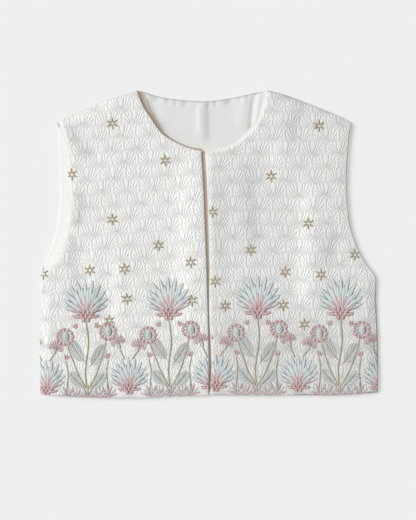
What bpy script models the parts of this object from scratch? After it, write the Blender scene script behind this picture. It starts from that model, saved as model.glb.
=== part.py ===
"""Cropped, round-necked waistcoat, laid flat with its back on the surface.

Right and left are the wearer's: the right front lies towards -X, the left front towards +X.
+Y runs to the neck and +Z up from the surface. The tables are in millimetres: x from the
centre line, y up from the lowest point of the hem. The meshes are in metres, about the
middle of the outline.
"""

import math
from collections import namedtuple

import bmesh
import bpy

MM = 0.001

# Heights and thicknesses.
BODY_LENGTH = 432.4        # lowest point of the hem to the neck point
MIDDLE = -0.8              # middle of the outline, seen from the centre line
CLOTH = 1.6                # quilted outer cloth between its raised fans
FAN_RELIEF = 0.9           # how far a quilted fan stands above that
LINING = 1.0
SEAM_GAP = 0.3             # between pieces that touch
FRONT_REST = 5.0           # underside of a front, on the back, its lining and a facing
ARMHOLE_REST = 4.0         # underside of a front along its armhole
FACING_WIDTH = 24.0        # how far a facing runs in under its front

# The edges of a piece: its face drops away over the last few millimetres.
EDGE_RADIUS = 5.0
EDGE_DROP = 0.7
EDGE_STATIONS = (0.0, 3.0, 8.0)
SEAM_ROLL = 16.0           # a front rolls down to its side and shoulder seams over this width
SIDE_SEAM_TOP = (140.0, 175.0)      # height over which the side seam gives way to the armhole
NECK_STACK = (35.0, 60.0)           # from the neck point: all layers stacked, then rolled down
LINING_ARMHOLE = (167.0, 197.0)     # height over which the lining reaches out to the armhole
LINING_NECK_STACK = (20.0, 50.0)    # from the neck point: the lining draws back from the seam
LINING_INSETS = (1.2, 9.0)          # from the back's free edges, and from its seams
FOLD_MARGIN = (22.0, 48.0)          # troughs start this far in from a faced edge

# The quilting: rows of fans, each row half a fan along from the one below.
FAN_COLUMN = 18.3          # half a fan's width
FAN_ROW = 19.25            # a fan's height

# Grid sizes of the pieces: columns across, rows up.
FRONT_GRID = (44, 64)
BACK_GRID = (20, 24)
LINING_GRID = (28, 24)
FACING_ROWS = 40
UNDERSIDE_STRIDE = 2       # the plain inner face uses every second row and column
NECK_SHARE = 0.25          # share of a front's rows that end on its neckline

Point = namedtuple("Point", "x y")
Fold = namedtuple("Fold", "x y lean length width height")
Peek = namedtuple("Peek", "along beyond")
Fans = namedtuple("Fans", "x y turn")

# Each edge runs upwards, or outwards from the centre line.
RIGHT_OUTER = [  # side edge, then the front's own armhole
    Point(-237.0, 5.0), Point(-238.0, 18.5), Point(-238.0, 95.5), Point(-237.9, 151.5),
    Point(-235.9, 173.2), Point(-227.5, 183.0), Point(-214.9, 200.5), Point(-206.5, 221.5),
    Point(-200.9, 244.0), Point(-197.4, 270.5), Point(-197.4, 298.5), Point(-200.2, 333.5),
    Point(-204.4, 368.5), Point(-209.3, 382.5), Point(-212.8, 387.1),
]
LEFT_OUTER = [
    Point(235.8, 8.0), Point(236.4, 36.7), Point(235.7, 92.7), Point(234.9, 106.7),
    Point(233.6, 137.5), Point(233.4, 158.5), Point(232.4, 169.7), Point(227.9, 176.7),
    Point(217.6, 190.7), Point(205.4, 214.5), Point(196.7, 242.5), Point(192.5, 283.0),
    Point(191.9, 307.0), Point(193.9, 347.5), Point(196.7, 374.0), Point(198.9, 384.0),
    Point(196.4, 388.1),
]
RIGHT_CENTRE = [
    Point(-1.5, 3.4), Point(-0.4, 24.0), Point(-1.0, 67.5), Point(-2.2, 123.5),
    Point(-4.9, 213.0), Point(-6.3, 246.7), Point(-8.1, 294.3), Point(-10.9, 340.5),
    Point(-10.5, 345.7),
]
LEFT_CENTRE = [
    Point(1.3, 4.5), Point(1.4, 22.7), Point(2.7, 53.5), Point(0.7, 88.5), Point(-0.8, 130.5),
    Point(0.7, 213.0), Point(-0.7, 252.3), Point(-1.4, 284.5), Point(-1.8, 333.5),
    Point(-0.7, 344.8),
]
RIGHT_NECK = [
    Point(-10.5, 345.7), Point(-25.9, 349.3), Point(-37.8, 353.8), Point(-49.8, 359.4),
    Point(-62.0, 367.1), Point(-70.0, 374.6), Point(-83.7, 394.8), Point(-91.7, 406.8),
    Point(-97.3, 418.9), Point(-101.8, 432.4),
]
LEFT_NECK = [
    Point(-0.7, 344.8), Point(12.9, 346.5), Point(29.0, 351.4), Point(41.9, 358.7),
    Point(53.2, 368.2), Point(63.7, 379.0), Point(72.5, 397.2), Point(78.1, 413.3),
    Point(80.2, 431.6),
]
RIGHT_SHOULDER = [
    Point(-101.8, 432.4), Point(-113.0, 426.4), Point(-146.9, 417.1), Point(-184.2, 400.3),
    Point(-203.0, 392.7), Point(-212.8, 387.1),
]
LEFT_SHOULDER = [
    Point(80.2, 431.6), Point(101.5, 425.9), Point(124.5, 417.8), Point(154.7, 406.3),
    Point(186.2, 393.0), Point(196.4, 388.1),
]
RIGHT_HEM = [
    Point(-1.5, 3.4), Point(-48.3, 2.5), Point(-98.7, 0.0), Point(-182.7, 1.6), Point(-237.0, 5.0),
]
LEFT_HEM = [
    Point(1.3, 4.5), Point(62.3, 3.6), Point(133.7, 4.2), Point(178.5, 4.2), Point(235.8, 8.0),
]
BACK_RIGHT = [  # the back stands out beyond the right front's armhole
    Point(-235.8, 6.8), Point(-237.0, 20.0), Point(-237.0, 95.5), Point(-236.9, 151.5),
    Point(-236.2, 171.1), Point(-234.5, 182.3), Point(-230.3, 193.5), Point(-224.7, 204.7),
    Point(-217.0, 227.1), Point(-212.1, 249.5), Point(-209.5, 278.0), Point(-209.6, 304.0),
    Point(-210.7, 347.5), Point(-212.1, 372.7), Point(-214.3, 386.0),
]
BACK_LEFT = [
    Point(234.8, 9.8), Point(235.4, 36.7), Point(234.7, 92.7), Point(233.9, 106.7),
    Point(232.6, 137.5), Point(232.4, 158.5), Point(231.6, 168.5), Point(229.0, 177.2),
    Point(212.1, 204.7), Point(200.3, 227.0), Point(195.7, 242.5), Point(191.5, 283.0),
    Point(190.9, 307.0), Point(192.9, 347.5), Point(195.5, 374.0), Point(195.6, 386.8),
]
BACK_HEM = [
    Point(-235.8, 6.8), Point(-182.0, 3.2), Point(-98.0, 2.0), Point(0.0, 5.4),
    Point(62.0, 5.4), Point(178.0, 6.0), Point(234.8, 9.8),
]
BACK_NECK = [
    Point(-101.2, 431.2), Point(-90.3, 428.6), Point(-79.7, 423.8), Point(-53.9, 418.2),
    Point(-5.6, 414.3), Point(37.1, 419.7), Point(60.9, 426.2), Point(79.8, 430.4),
]
BACK_TOP_SHARES = (0.3, 0.7)        # where the neck points fall along the back's top edge

# Soft ridges (+) and troughs (-) of the laid cloth: middle, lean from upright in degrees.
RIGHT_FOLDS = [
    Fold(-31.0, 207.0, 2.0, 300.0, 16.0, 1.4),
    Fold(-182.0, 359.0, -41.0, 70.0, 11.0, -1.2),
    Fold(-180.0, 264.0, 4.0, 64.0, 10.0, -1.1),
    Fold(-187.0, 191.0, -6.0, 84.0, 11.0, -1.1),
    Fold(-164.0, 154.0, 3.0, 124.0, 10.0, 1.2),
    Fold(-128.0, 150.0, -2.0, 118.0, 10.0, 1.0),
]
LEFT_FOLDS = [
    Fold(138.0, 214.0, 2.0, 212.0, 14.0, 1.6),
    Fold(62.0, 262.0, -3.0, 150.0, 13.0, -1.1),
    Fold(173.0, 207.0, 12.0, 74.0, 10.0, -1.2),
    Fold(122.0, 378.0, 20.0, 52.0, 10.0, -1.0),
    Fold(96.0, 330.0, 6.0, 88.0, 12.0, 0.9),
]
LINING_PLEAT = Fold(-15.0, 402.0, 0.0, 84.0, 12.0, 1.3)   # at the centre back, above the fronts

# How far each facing shows beyond its front's edge: share of the way, millimetres.
RIGHT_PEEK = [Peek(0.0, 3.4), Peek(0.35, 3.4), Peek(0.60, 4.4), Peek(0.74, 4.6),
              Peek(0.79, 1.6), Peek(0.86, 3.2), Peek(0.93, 6.5), Peek(1.0, 13.0)]
LEFT_PEEK = [Peek(0.0, 2.0), Peek(0.35, 3.6), Peek(0.7, 4.6), Peek(1.0, 8.5)]
LEFT_FACING_START = 0.06   # share of the neckline left bare at the centre front

RIGHT_FANS = Fans(-94.1, 267.4, 4.2)
LEFT_FANS = Fans(106.3, 300.3, 0.5)

OUTER_COLOUR = (0.86, 0.85, 0.82)
LINING_COLOUR = (0.80, 0.79, 0.76)
TAN_COLOUR = (0.62, 0.49, 0.36)


def clear_objects():
    for item in list(bpy.data.objects):
        bpy.data.objects.remove(item, do_unlink=True)


def cloth_material(name, colour):
    material = bpy.data.materials.new(name)
    material.use_nodes = True
    shader = material.node_tree.nodes["Principled BSDF"]
    shader.inputs["Base Color"].default_value = (*colour, 1.0)
    shader.inputs["Roughness"].default_value = 0.85
    shader.inputs["Metallic"].default_value = 0.0
    return material


def smooth(value, low=0.0, high=1.0):
    """Ease from 0 at low to 1 at high."""
    share = min(max((value - low) / (high - low), 0.0), 1.0)
    return share * share * (3.0 - 2.0 * share)


def mix(first, second, share):
    return first + (second - first) * share


class Edge:
    """A smooth curve through a table's points, read by share of its length."""

    STEPS = 10

    def __init__(self, rows):
        self.points = [rows[0]]
        for i in range(len(rows) - 1):
            before = rows[max(i - 1, 0)]
            after = rows[min(i + 2, len(rows) - 1)]
            for step in range(1, self.STEPS + 1):
                self.points.append(self.between(before, rows[i], rows[i + 1], after,
                                                step / self.STEPS))
        self.lengths = [0.0]
        for a, b in zip(self.points, self.points[1:]):
            self.lengths.append(self.lengths[-1] + math.hypot(b.x - a.x, b.y - a.y))

    @staticmethod
    def between(before, start, end, after, t):
        """Cubic from start to end, with slopes that suit the uneven spacing of the rows."""
        span = math.hypot(end.x - start.x, end.y - start.y)
        span_before = math.hypot(start.x - before.x, start.y - before.y) or span
        span_after = math.hypot(after.x - end.x, after.y - end.y) or span
        weights = (2 * t**3 - 3 * t**2 + 1, t**3 - 2 * t**2 + t, -2 * t**3 + 3 * t**2, t**3 - t**2)
        values = []
        for a, b, c, d in zip(before, start, end, after):
            slope_in = (c - a) / (span_before + span) * span
            slope_out = (d - b) / (span + span_after) * span
            values.append(weights[0] * b + weights[1] * slope_in
                          + weights[2] * c + weights[3] * slope_out)
        return Point(*values)

    def at(self, share):
        target = min(max(share, 0.0), 1.0) * self.lengths[-1]
        for i in range(1, len(self.lengths)):
            if self.lengths[i] >= target:
                step = self.lengths[i] - self.lengths[i - 1]
                part = (target - self.lengths[i - 1]) / step if step else 0.0
                a, b = self.points[i - 1], self.points[i]
                return Point(mix(a.x, b.x, part), mix(a.y, b.y, part))
        return self.points[-1]


def joined(first, second, corner):
    """One edge after another, meeting at the share called corner."""
    def at(share):
        if share <= corner:
            return first.at(share / corner)
        return second.at((share - corner) / (1.0 - corner))
    return at


def patch_point(sides, u, v):
    """Coons patch: sides are the curves at u = 0, u = 1, v = 0 and v = 1."""
    start, end, bottom, top = (side(share) for side, share in zip(sides, (v, v, u, u)))
    corners = sides[0](0.0), sides[1](0.0), sides[0](1.0), sides[1](1.0)
    values = []
    for axis in range(2):
        ruled = mix(start[axis], end[axis], u) + mix(bottom[axis], top[axis], v)
        flat = mix(mix(corners[0][axis], corners[1][axis], u),
                   mix(corners[2][axis], corners[3][axis], u), v)
        values.append(ruled - flat)
    return Point(*values)


def stations(count, length, corner=None):
    """Shares from 0 to 1: close together at both ends, one of them on the corner."""
    ends = [offset / length for offset in EDGE_STATIONS]
    steps = count - 2 * (len(ends) - 1)
    middle = [mix(ends[-1], 1.0 - ends[-1], i / steps) for i in range(1, steps)]
    shares = ends + middle + [1.0 - end for end in reversed(ends)]
    if corner is not None:
        nearest = min(range(len(shares)), key=lambda i: abs(shares[i] - corner))
        shares[nearest] = corner
    return shares


def fold_height(folds, point, trough_scale=1.0):
    """The sum of the folds at a point: each is a soft bar that fades at its ends."""
    total = 0.0
    for fold in folds:
        lean = math.radians(fold.lean)
        dx, dy = point.x - fold.x, point.y - fold.y
        across = dx * math.cos(lean) - dy * math.sin(lean)
        along = dx * math.sin(lean) + dy * math.cos(lean)
        fade = 1.0 - smooth(abs(along), fold.length * 0.25, fold.length * 0.5)
        height = fold.height * fade * math.exp(-((across / fold.width) ** 2))
        total += height * (trough_scale if fold.height < 0 else 1.0)
    return total


def fan_height(fans, point):
    """The quilting: 0 along the lines between the fans, 1 at the middle of each."""
    turn = math.radians(fans.turn)
    dx, dy = point.x - fans.x, point.y - fans.y
    across = dx * math.cos(turn) + dy * math.sin(turn)
    up = dy * math.cos(turn) - dx * math.sin(turn)
    row = math.floor(up / FAN_ROW)
    across -= (row % 2) * FAN_COLUMN
    across -= 2.0 * FAN_COLUMN * round(across / (2.0 * FAN_COLUMN))
    return (math.cos(math.pi * across / (2.0 * FAN_COLUMN))
            * math.sin(math.pi * (up / FAN_ROW - row)))


def edge_drop(distance):
    return EDGE_DROP * max(1.0 - distance / EDGE_RADIUS, 0.0) ** 2


def wall(name, top, bottom, material):
    """A closed wall: a grid of top points, and every second point of the bottom grid."""
    mesh = bmesh.new()
    rows, columns = len(top), len(top[0])
    stride = UNDERSIDE_STRIDE

    def vertex(place):
        x, y, z = place
        return mesh.verts.new(((x - MIDDLE) * MM, (y - BODY_LENGTH / 2) * MM, z * MM))

    upper = [[vertex(place) for place in row] for row in top]
    lower = {(r, c): vertex(bottom[r][c])
             for r in range(0, rows, stride) for c in range(0, columns, stride)}
    for r in range(rows - 1):
        for c in range(columns - 1):
            mesh.faces.new((upper[r][c], upper[r][c + 1], upper[r + 1][c + 1], upper[r + 1][c]))
    for r in range(0, rows - 1, stride):
        for c in range(0, columns - 1, stride):
            mesh.faces.new((lower[r, c], lower[r + stride, c],
                            lower[r + stride, c + stride], lower[r, c + stride]))
    for c in range(0, columns - 1, stride):
        for r in (0, rows - 1):
            rim = [upper[r][c + i] for i in range(stride + 1)]
            mesh.faces.new([lower[r, c]] + rim + [lower[r, c + stride]])
    for r in range(0, rows - 1, stride):
        for c in (0, columns - 1):
            rim = [upper[r + i][c] for i in range(stride + 1)]
            mesh.faces.new([lower[r, c]] + rim + [lower[r + stride, c]])
    bmesh.ops.recalc_face_normals(mesh, faces=mesh.faces)

    data = bpy.data.meshes.new(name)
    mesh.to_mesh(data)
    mesh.free()
    data.materials.append(material)
    data.shade_smooth()
    data.set_sharp_from_angle(angle=math.radians(40))
    item = bpy.data.objects.new(name, data)
    bpy.context.scene.collection.objects.link(item)
    return item


def front_underside(point, from_outer, from_inner, from_shoulder, from_neck_point, folds):
    """Height of a front's underside, which rolls down to its side and shoulder seams."""
    seam = CLOTH + SEAM_GAP + EDGE_DROP * 0.5
    side_share = 1.0 - smooth(point.y, *SIDE_SEAM_TOP)
    outer_edge = mix(ARMHOLE_REST, seam, side_share)
    shoulder_edge = mix(FRONT_REST, seam, smooth(from_neck_point, *NECK_STACK))
    outer = mix(outer_edge, FRONT_REST, smooth(from_outer / SEAM_ROLL))
    shoulder = mix(shoulder_edge, FRONT_REST, smooth(from_shoulder / SEAM_ROLL))
    edge_fade = smooth(min(from_outer, from_shoulder), 4.0, SEAM_ROLL + 8.0)
    trough_scale = smooth(from_inner, *FOLD_MARGIN)
    return min(outer, shoulder) + fold_height(folds, point, trough_scale) * edge_fade


def build_front(name, outer, centre, neck, hem, shoulder, folds, fans, material):
    """A front: ruled from its side and armhole to its centre edge and neckline."""
    inner = joined(Edge(centre), Edge(neck), 1.0 - NECK_SHARE)
    hem_edge, shoulder_edge = Edge(hem), Edge(shoulder)
    sides = (Edge(outer).at, inner,
             lambda u: hem_edge.at(1.0 - u), lambda u: shoulder_edge.at(1.0 - u))
    columns, rows = FRONT_GRID
    neck_point = shoulder[0]
    top, bottom = [], []
    for v in stations(rows, BODY_LENGTH, 1.0 - NECK_SHARE):
        start, end = sides[0](v), sides[1](v)
        width = math.hypot(end.x - start.x, end.y - start.y)
        top_row, bottom_row = [], []
        for u in stations(columns, width):
            point = patch_point(sides, u, v)
            from_outer, from_inner = u * width, (1.0 - u) * width
            from_hem, from_shoulder = v * BODY_LENGTH, (1.0 - v) * BODY_LENGTH
            from_neck = math.hypot(point.x - neck_point.x, point.y - neck_point.y)
            under = front_underside(point, from_outer, from_inner, from_shoulder,
                                    from_neck, folds)
            to_edge = min(from_outer, from_inner, from_hem, from_shoulder)
            relief = FAN_RELIEF * fan_height(fans, point) * smooth(to_edge / EDGE_RADIUS)
            bottom_row.append((point.x, point.y, under))
            top_row.append((point.x, point.y, under + CLOTH + relief - edge_drop(to_edge)))
        top.append(top_row)
        bottom.append(bottom_row)
    return wall(name, top, bottom, material)


def back_sides():
    """The four curves of the back. Its shoulders are the fronts', moved onto its own corners."""
    right, left = Edge(BACK_RIGHT), Edge(BACK_LEFT)
    neck = Edge(BACK_NECK)
    right_shoulder, left_shoulder = Edge(RIGHT_SHOULDER), Edge(LEFT_SHOULDER)
    lower, upper = BACK_TOP_SHARES

    def top(share):
        if lower <= share <= upper:
            return neck.at((share - lower) / (upper - lower))
        if share < lower:
            shoulder, along = right_shoulder, 1.0 - share / lower
            neck_point, tip = neck.at(0.0), right.at(1.0)
        else:
            shoulder, along = left_shoulder, (share - upper) / (1.0 - upper)
            neck_point, tip = neck.at(1.0), left.at(1.0)
        point, start, end = shoulder.at(along), shoulder.at(0.0), shoulder.at(1.0)
        return Point(point.x + mix(neck_point.x - start.x, tip.x - end.x, along),
                     point.y + mix(neck_point.y - start.y, tip.y - end.y, along))

    return right.at, left.at, Edge(BACK_HEM).at, top


def drawn_in(sides, u, v, edge_inset, seam_inset):
    """The same place on a piece that stops short of the back's edges, and further from seams."""
    start, end = sides[0](v), sides[1](v)
    armhole = smooth(start.y, *LINING_ARMHOLE)
    from_side = mix(seam_inset, edge_inset, armhole) / (end.x - start.x)
    to_tip = max(BACK_TOP_SHARES[0] - u, u - BACK_TOP_SHARES[1], 0.0) * (end.x - start.x)
    from_top = mix(edge_inset, seam_inset, smooth(to_tip, *LINING_NECK_STACK)) / BODY_LENGTH
    return (mix(from_side, 1.0 - from_side, u),
            mix(edge_inset / BODY_LENGTH, 1.0 - from_top, v))


def top_columns(count):
    """Shares across the back, with one on each neck point."""
    lower, upper = BACK_TOP_SHARES
    shoulder = round(count * lower)
    neck = count - 2 * shoulder
    shares = [lower * i / shoulder for i in range(shoulder)]
    shares += [mix(lower, upper, i / neck) for i in range(neck)]
    shares += [mix(upper, 1.0, i / shoulder) for i in range(shoulder + 1)]
    return shares


def build_back(name, grid, insets, base, thickness, rounded, folds, material):
    """The back or its lining: a flat wall whose upper face may carry folds."""
    sides = back_sides()
    columns, rows = grid
    top, bottom = [], []
    for v in (i / rows for i in range(rows + 1)):
        top_row, bottom_row = [], []
        for u in top_columns(columns):
            point = patch_point(sides, *drawn_in(sides, u, v, *insets))
            lift = fold_height(folds, point)
            on_edge = rounded if min(u, v, 1.0 - u, 1.0 - v) <= 0.0 else 0.0
            bottom_row.append((point.x, point.y, base + lift))
            top_row.append((point.x, point.y, base + lift + thickness - on_edge))
        top.append(top_row)
        bottom.append(bottom_row)
    return wall(name, top, bottom, material)


def peek_at(rows, share):
    for a, b in zip(rows, rows[1:]):
        if share <= b.along:
            return mix(a.beyond, b.beyond, smooth(share, a.along, b.along))
    return rows[-1].beyond


def build_facing(name, edge, peeks, outwards, material):
    """A strip under a front's inner edge, showing a little beyond it."""
    top, bottom = [], []
    step = 0.5 / FACING_ROWS
    for i in range(FACING_ROWS + 1):
        share = i / FACING_ROWS
        point = edge(share)
        ahead, behind = edge(min(share + step, 1.0)), edge(max(share - step, 0.0))
        dx, dy = ahead.x - behind.x, ahead.y - behind.y
        length = math.hypot(dx, dy)
        normal = Point(outwards * dy / length, -outwards * dx / length)
        beyond = peek_at(peeks, share)
        offsets = (beyond, beyond - 2.0, -FACING_WIDTH)
        drops = (0.3, 0.0, 0.0)
        top_z = FRONT_REST - SEAM_GAP
        top.append([(point.x + normal.x * offset, point.y + normal.y * offset, top_z - drop)
                    for offset, drop in zip(offsets, drops)])
        bottom.append([(x, y, top_z - LINING) for x, y, _ in top[-1]])
    return wall(name, top, bottom, material)


def build_facings(material_right, material_left):
    """The right facing runs from hem to shoulder, the left one along the neckline only."""
    end = 0.985
    right_edge = joined(Edge(RIGHT_CENTRE), Edge(RIGHT_NECK), 1.0 - NECK_SHARE)
    build_facing("right_front_facing", lambda share: right_edge(mix(0.012, end, share)),
                 RIGHT_PEEK, 1.0, material_right)
    left_edge = Edge(LEFT_NECK)
    build_facing("left_front_facing",
                 lambda share: left_edge.at(mix(LEFT_FACING_START, end, share)),
                 LEFT_PEEK, -1.0, material_left)


def main():
    clear_objects()
    outer = cloth_material("outer_cloth", OUTER_COLOUR)
    lining = cloth_material("lining_cloth", LINING_COLOUR)
    tan = cloth_material("facing_cloth", TAN_COLOUR)
    lining_base = CLOTH + EDGE_DROP * 0.5 + SEAM_GAP
    build_back("back", BACK_GRID, (0.0, 0.0), 0.0, CLOTH + EDGE_DROP * 0.5, EDGE_DROP, [], outer)
    build_back("back_lining", LINING_GRID, LINING_INSETS, lining_base, LINING, 0.3,
               [LINING_PLEAT], lining)
    build_front("right_front", RIGHT_OUTER, RIGHT_CENTRE, RIGHT_NECK, RIGHT_HEM,
                RIGHT_SHOULDER, RIGHT_FOLDS, RIGHT_FANS, outer)
    build_front("left_front", LEFT_OUTER, LEFT_CENTRE, LEFT_NECK, LEFT_HEM,
                LEFT_SHOULDER, LEFT_FOLDS, LEFT_FANS, outer)
    build_facings(tan, lining)


main()
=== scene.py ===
"""Looks of the cropped waistcoat, laid flat: quilted cloth, woven flowers, lining and light.

Places on the garment are in millimetres, as in its construction: x from the centre line, y up
from the lowest point of the hem, z up from the surface. Meshes are in metres. Right and left
are the wearer's, so the right front lies towards -X. A pair of values named for a margin, for
heights, sides or widths says where a look starts to come in and where it has come in fully.
"""

import math
from collections import namedtuple

import bpy
import numpy as np
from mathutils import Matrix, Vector
from mathutils.bvhtree import BVHTree


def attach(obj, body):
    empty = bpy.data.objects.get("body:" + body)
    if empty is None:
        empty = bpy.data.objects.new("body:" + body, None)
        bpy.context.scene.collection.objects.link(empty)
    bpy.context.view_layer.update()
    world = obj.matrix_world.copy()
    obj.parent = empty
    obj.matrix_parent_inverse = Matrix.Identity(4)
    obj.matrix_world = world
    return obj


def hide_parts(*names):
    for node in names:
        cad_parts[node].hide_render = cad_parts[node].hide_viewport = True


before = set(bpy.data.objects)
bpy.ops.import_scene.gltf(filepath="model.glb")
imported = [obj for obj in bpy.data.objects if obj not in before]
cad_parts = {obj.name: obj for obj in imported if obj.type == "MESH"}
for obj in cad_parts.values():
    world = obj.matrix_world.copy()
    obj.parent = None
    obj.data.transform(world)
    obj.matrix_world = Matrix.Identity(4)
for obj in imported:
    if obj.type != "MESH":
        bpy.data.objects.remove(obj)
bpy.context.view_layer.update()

MM = 0.001

# The photograph: its frame, its scale and where the middle of the garment is in it.
PHOTO_WIDTH, PHOTO_HEIGHT = 416, 520
MM_PER_PIXEL = 1.4
CENTRE_LINE_PIXEL = 209.5
HEM_PIXEL = 398.2

# Heights and thicknesses, as in the construction.
BODY_LENGTH = 432.4
MIDDLE = -0.8
CLOTH = 1.6
LINING = 1
SEAM_GAP = 0.3
SEAM_HEIGHT = 2.25
FRONT_REST = 5
ARMHOLE_REST = 4
BACK_TOP = 1.95
LINING_REST = 2.25
LINING_TOP = LINING_REST + LINING
FACING_TOP = 4.7
FACING_WIDTH = 24
SEAM_ROLL = 16
SIDE_SEAM_TOP = (140, 175)
NECK_STACK = (35, 60)
FOLD_MARGIN = (22, 48)
ROLL_MARGIN = (4, 24)
LINING_ARMHOLE = (167, 197)
LINING_NECK_STACK = (20, 50)
LINING_INSETS = (0.5, 9)
NECK_SHARE = 0.25
BACK_TOP_SHARES = (0.3, 0.7)

# Turned edges: rows close to an edge, and the radius that each cloth turns over.
EDGE_ROWS = (0, 0.15, 0.5, 1, 1.7, 2.6)
TURN_RADIUS = 1.5
BACK_TURN_RADIUS = 1.2
LINING_TURN_RADIUS = 0.7

# The quilted ground: rows of fans, each row half a fan along from the one below. A fan has a
# bud over a small knot, and pale strokes that spread from just below the knot and bend upright.
# Between two fans a raised stem, with a pale line at each side, runs up to the next knot.
FAN_COLUMN = 18.3
FAN_ROW = 19.25
FAN_SHOULDER = 3.3
FAN_SHOULDER_POWER = 1.7
BUD_FOOT = 6.5
BUD_LENGTH = 17
BUD_HALF_WIDTH = 2.9
BUD_POWERS = (0.9, 0.6)
BUD_FULLNESS = 2.6
BUD_EDGE = (0.4, -0.4)
BUD_GROOVE = (0.2, 1.6)
KNOT_WIDTH = 1.55
KNOT_CLEARING = (2.2, 3.8)
STROKE_FOOT = 2.2
STROKE_BEND = 59
STROKE_ANGLE = math.radians(11.5)
FIRST_STROKE = math.radians(23.9)
STROKE_START = (4.5, 7.5)
STROKE_FROM_FOOT = (-0.5, 0.8)
STROKE_TO_TOP = (-0.5, 1)
STROKE_FROM_STEM = (1.2, 2.9)
STROKE_TOP = 0.9
GROUND_LEVEL = 0.2
STEM_PLACE, STEM_WIDTH = 2.25, 1.15
STEM_ENDS, STEM_END_FADE = (5, 16.2), 1
SLOW_WAVER, QUICK_WAVER = 0.5, 0.2

# A fan's bulge: its mean height, what its dome and its rise add, and how both ease off.
BULGE_MEAN, BULGE_DOME, BULGE_RISE = 0.4, 0.45, 0.12
BULGE_EASE, DOME_POWER = 0.36, 0.8

# Relief of the fronts: how far the fans puff up and how deep their fine lines are.
PUFF = 0.7
PUFF_MARGIN = (0.6, 4.5)
PUFF_MEAN, PUFF_SWELL = 0.88, 0.4
PUFF_UNDER_THREAD, FLATTENED = 0.42, 0.7
SWELL_MARGIN = (2, 30)
LINE_DEPTH = 0.68
LINE_MARGIN = (0.3, 1.3)
LINES_UNDER_THREAD = 0.3

# The plain strip along a front's armhole, which widens downwards.
STRIP_FLARE = 0.7
STRIP_FLARE_HEIGHTS = (200, 270)
STRIP_EDGE = 1.5

# Shade painted into the fronts' colour: in the troughs of folds and lighter on their ridges, under
# thread, and on the left front all over, more near its shoulder and hem.
FOLD_SHADE, THREAD_SHADE, SHOULDER_SHADE, HEM_SHADE = 0.45, 0.35, 1.8, 0.9
SHOULDER_SHADE_REACH = 7
HEM_SHADE_HEIGHTS = (60, 170)
SHADE_LIMITS = (-0.6, 1)
SHADE_MARGIN = (1, 8)

# Painted shade along the rims: its width and strength, and how much is left of it at the neck.
RIM_WIDTH = 2
FAR_RIM_WIDENING = 0.5
RIM_SHADE, FAR_RIM_SHADE = 0.45, 1
NECK_RIM_SHADE = {"right": 0.15, "left": 0.6}
NECK_HEIGHTS = (345, 358)
BACK_RIM_SHADE, BACK_NECK_RIM_SHADE = 0.5, 0.6
BACK_NECK_HEIGHTS = (400, 415)

# The lining: where its folds rise, its gathers along the neck seam, its painted shade and its seam
# line.
OPEN_HEIGHTS = (350, 372)
OPEN_MARGIN = (0, 6)
GATHER_HEIGHT, GATHER_PITCH, GATHER_DRIFT, GATHER_UNEVENNESS = 0.45, 2.3, 8, 1.6
GATHER_PLACE, GATHER_REACH = 4, 5
GATHER_HEIGHTS = (395, 405)
NECK_SHADE, LEAST_SHADE, RIDGE_SHADE, TROUGH_SHADE, FRONT_SHADE = 0.82, 0.1, -0.25, -2, 0.8
NECK_SHADE_HEIGHTS = (335, 352)
NECK_SHADE_SIDES = (120, 150)
ANY_SHADE_HEIGHTS = (160, 340)
FRONT_SHADE_REACH = 7
FRONT_SHADE_HEIGHTS = (350, 375)
SEAM_LINE_PLACE, SEAM_LINE_WIDTH = 1.2, 0.9
SEAM_LINE_HEIGHTS = (390, 404)

# The facings: where each begins and ends along its front's edge, how its columns crowd to the edge
# that shows, how its end is trimmed, how it sinks to the lining, the even shade painted on the
# left one, and how the shadow painted on the right one fades.
RIGHT_FACING_SPAN = (0.012, 1)
LEFT_FACING_SPAN = (0.06, 0.985)
FACING_CROWDING = 1.8
FACING_END_INSET = 1.2
FACING_END = (0.9, 1)
FACING_SINK = (-0.6, 1)
FACING_ABOVE_LINING, FACING_INTO_LINING = 0.25, 0.2
FACING_SHADE = 0.7
NARROW_FADE, WIDE_FADE, FADE_END = 0.8, 0.42, 1.02
FADE_WIDTHS = (5, 12)
GAP_SHARES = (0.70, 0.80)
PEEK_BLUR = 0.02

# Pads of thread: how far their rims sink into the cloth, how they round off, the least share that
# has to lie on the cloth, and the grid in which what they cover is counted.
PAD_SINK = 0.35
PAD_END_RISE, PAD_END_HEIGHT = 8, 0.35
PAD_LEAST_HALF_WIDTH = 0.12
PAD_ROUNDNESS = 0.75
PAD_ON_CLOTH = 0.3
COVER_CELL = 1
COVER_ORIGIN = (-250, -10)
COVER_ROWS, COVER_COLUMNS = 460, 500
SMALL_PAD = (6, 4)

# Noise of the outer cloth: scale and detail, and how far each noise shifts its lattice, in mm.
FINE_NOISE, SWAY_NOISE, LEAN_NOISE = (420, 2), (85, 1), (65, 1)
SWAY, LEAN, FINE_SWAY, FINE_LEAN = 3.6, 4.5, 1.4, -1.2
LINE_UNEVENNESS = 1.8
# Painted shade on the ground between the fans' pale lines, partly the ground weave's own darker
# colour: where it comes in, and how strong it is.
GROUND_SHADE_RANGE, GROUND_SHADE_STRENGTH = (0.62, 0), 0.30
# How strong the fronts' painted shade is, and an even share of grey over all of the outer cloth.
PAINTED_SHADE_STRENGTH, TONE_BASE = 0.5, 0.27
THREAD_RELIEF = 0.05

# Scales of the slow patches in each material's colour, pitches of threads and depth of relief in
# metres, and where a pad's deeper edge and its wear come in.
CREAM_PATCHES, LINING_PATCHES, TAN_PATCHES, WEAR_PATCHES, FLOOR_PATCHES = 16, 22, 60, 120, 3
OUTER_THREAD_PITCH, PLAIN_THREAD_PITCH, LINING_THREAD_PITCH = 0.0006, 0.0005, 0.0023
STITCH_PITCH = 0.0007
PLAIN_RELIEF = 0.0002
PAD_EDGE = (0.30, 0.85)
WEAR_RANGE = (0.35, 0.75)

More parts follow.
